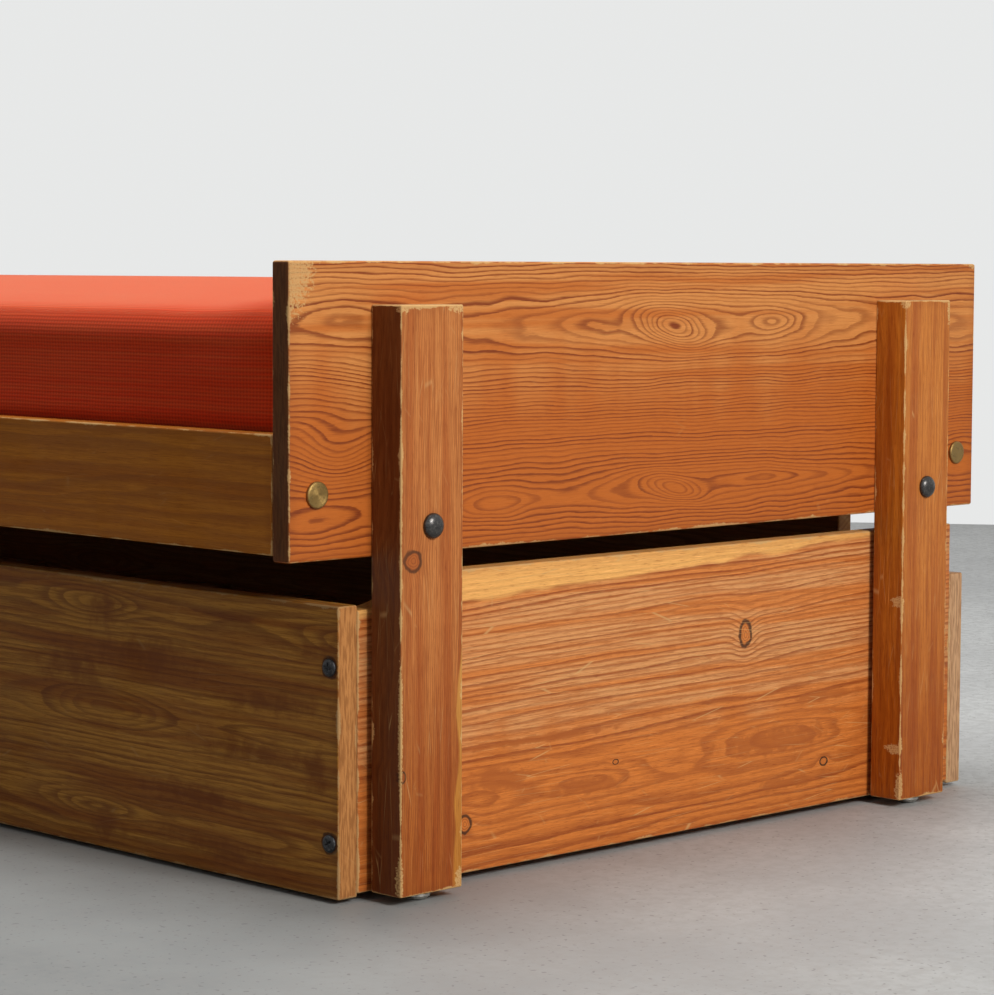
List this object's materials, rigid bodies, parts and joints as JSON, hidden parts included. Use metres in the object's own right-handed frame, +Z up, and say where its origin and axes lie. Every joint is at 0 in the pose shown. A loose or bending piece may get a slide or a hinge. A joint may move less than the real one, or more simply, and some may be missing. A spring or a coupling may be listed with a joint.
{
  "type": "pull-out bed bench",
  "caption": "Low pine single bed with a wool mattress on wide end panels bolted to square posts, and a slatted lower bed on castors that rolls out from under it.",
  "frame": {"origin": "on the floor, under the middle of the bed", "axes": "+X along the bed towards the end in the picture, -Y towards the side where the lower bed pulls out, +Z up"},
  "size_m": [2.133, 0.944, 0.55],
  "materials": {
    "panel_pine": "worn clear lacquer",
    "post_pine": "worn clear lacquer",
    "rail_pine": "worn clear lacquer",
    "lower_pine": "worn clear lacquer",
    "plain_pine": "bare planed wood",
    "beech": "bare wood",
    "red_wool": "knitted wool",
    "black_steel": "black oxide",
    "brass": "brushed",
    "zinc_steel": "zinc plated",
    "nickel": "worn nickel plate",
    "nylon": "moulded nylon"
  },
  "bodies": {
    "bench": {"back_ledger": "plain_pine", "back_rail": "rail_pine", "barrel_nuts": "zinc_steel", "bed_slat_1": "plain_pine", "bed_slat_10": "plain_pine", "bed_slat_11": "plain_pine", "bed_slat_12": "plain_pine", "bed_slat_13": "plain_pine", "bed_slat_2": "plain_pine", "bed_slat_3": "plain_pine", "bed_slat_4": "plain_pine", "bed_slat_5": "plain_pine", "bed_slat_6": "plain_pine", "bed_slat_7": "plain_pine", "bed_slat_8": "plain_pine", "bed_slat_9": "plain_pine", "bed_slat_screws": "zinc_steel", "frame_dowels": "beech", "front_ledger": "plain_pine", "front_rail": "rail_pine", "ledger_screws": "zinc_steel", "left_back_post": "post_pine", "left_end_panel": "panel_pine", "left_front_post": "post_pine", "mattress": "red_wool", "post_bolt_nuts": "zinc_steel", "post_bolt_washers": "zinc_steel", "post_bolts": "black_steel", "post_glides": "nickel", "rail_bolts": "brass", "right_back_post": "post_pine", "right_end_panel": "panel_pine", "right_front_post": "post_pine"},
    "lower_bed": {"castor_axles": "zinc_steel", "castor_brackets": "zinc_steel", "castor_screws": "zinc_steel", "corner_screws": "black_steel", "pull_back_board": "lower_pine", "pull_back_ledger": "plain_pine", "pull_front_board": "lower_pine", "pull_front_ledger": "plain_pine", "pull_ledger_screws": "zinc_steel", "pull_left_board": "lower_pine", "pull_right_board": "lower_pine", "pull_slat_1": "plain_pine", "pull_slat_2": "plain_pine", "pull_slat_3": "plain_pine", "pull_slat_4": "plain_pine", "pull_slat_5": "plain_pine", "pull_slat_6": "plain_pine", "pull_slat_7": "plain_pine", "pull_slat_8": "plain_pine", "pull_slat_9": "plain_pine", "pull_slat_screws": "zinc_steel"},
    "left_back_castor": {"left_back_wheel": "nylon"},
    "left_front_castor": {"left_front_wheel": "nylon"},
    "right_back_castor": {"right_back_wheel": "nylon"},
    "right_front_castor": {"right_front_wheel": "nylon"}
  },
  "joints": [
    {"name": "lower_bed_slide", "type": "slide", "parent": "bench", "child": "lower_bed", "axis": [0, -1, 0], "range_m": [0, 0.94]},
    {"name": "left_back_castor_roll", "type": "hinge", "parent": "lower_bed", "child": "left_back_castor", "pos_m": [-0.981, 0.349, 0.025], "axis": [1, 0, 0], "continuous": true},
    {"name": "left_front_castor_roll", "type": "hinge", "parent": "lower_bed", "child": "left_front_castor", "pos_m": [-0.981, -0.295, 0.025], "axis": [1, 0, 0], "continuous": true},
    {"name": "right_back_castor_roll", "type": "hinge", "parent": "lower_bed", "child": "right_back_castor", "pos_m": [0.981, 0.349, 0.025], "axis": [1, 0, 0], "continuous": true},
    {"name": "right_front_castor_roll", "type": "hinge", "parent": "lower_bed", "child": "right_front_castor", "pos_m": [0.981, -0.295, 0.025], "axis": [1, 0, 0], "continuous": true}
  ],
  "couplings": [
    {"joint": "left_back_castor_roll", "follows": "lower_bed_slide", "rad_per_m": 40},
    {"joint": "left_front_castor_roll", "follows": "lower_bed_slide", "rad_per_m": 40},
    {"joint": "right_back_castor_roll", "follows": "lower_bed_slide", "rad_per_m": 40},
    {"joint": "right_front_castor_roll", "follows": "lower_bed_slide", "rad_per_m": 40}
  ]
}
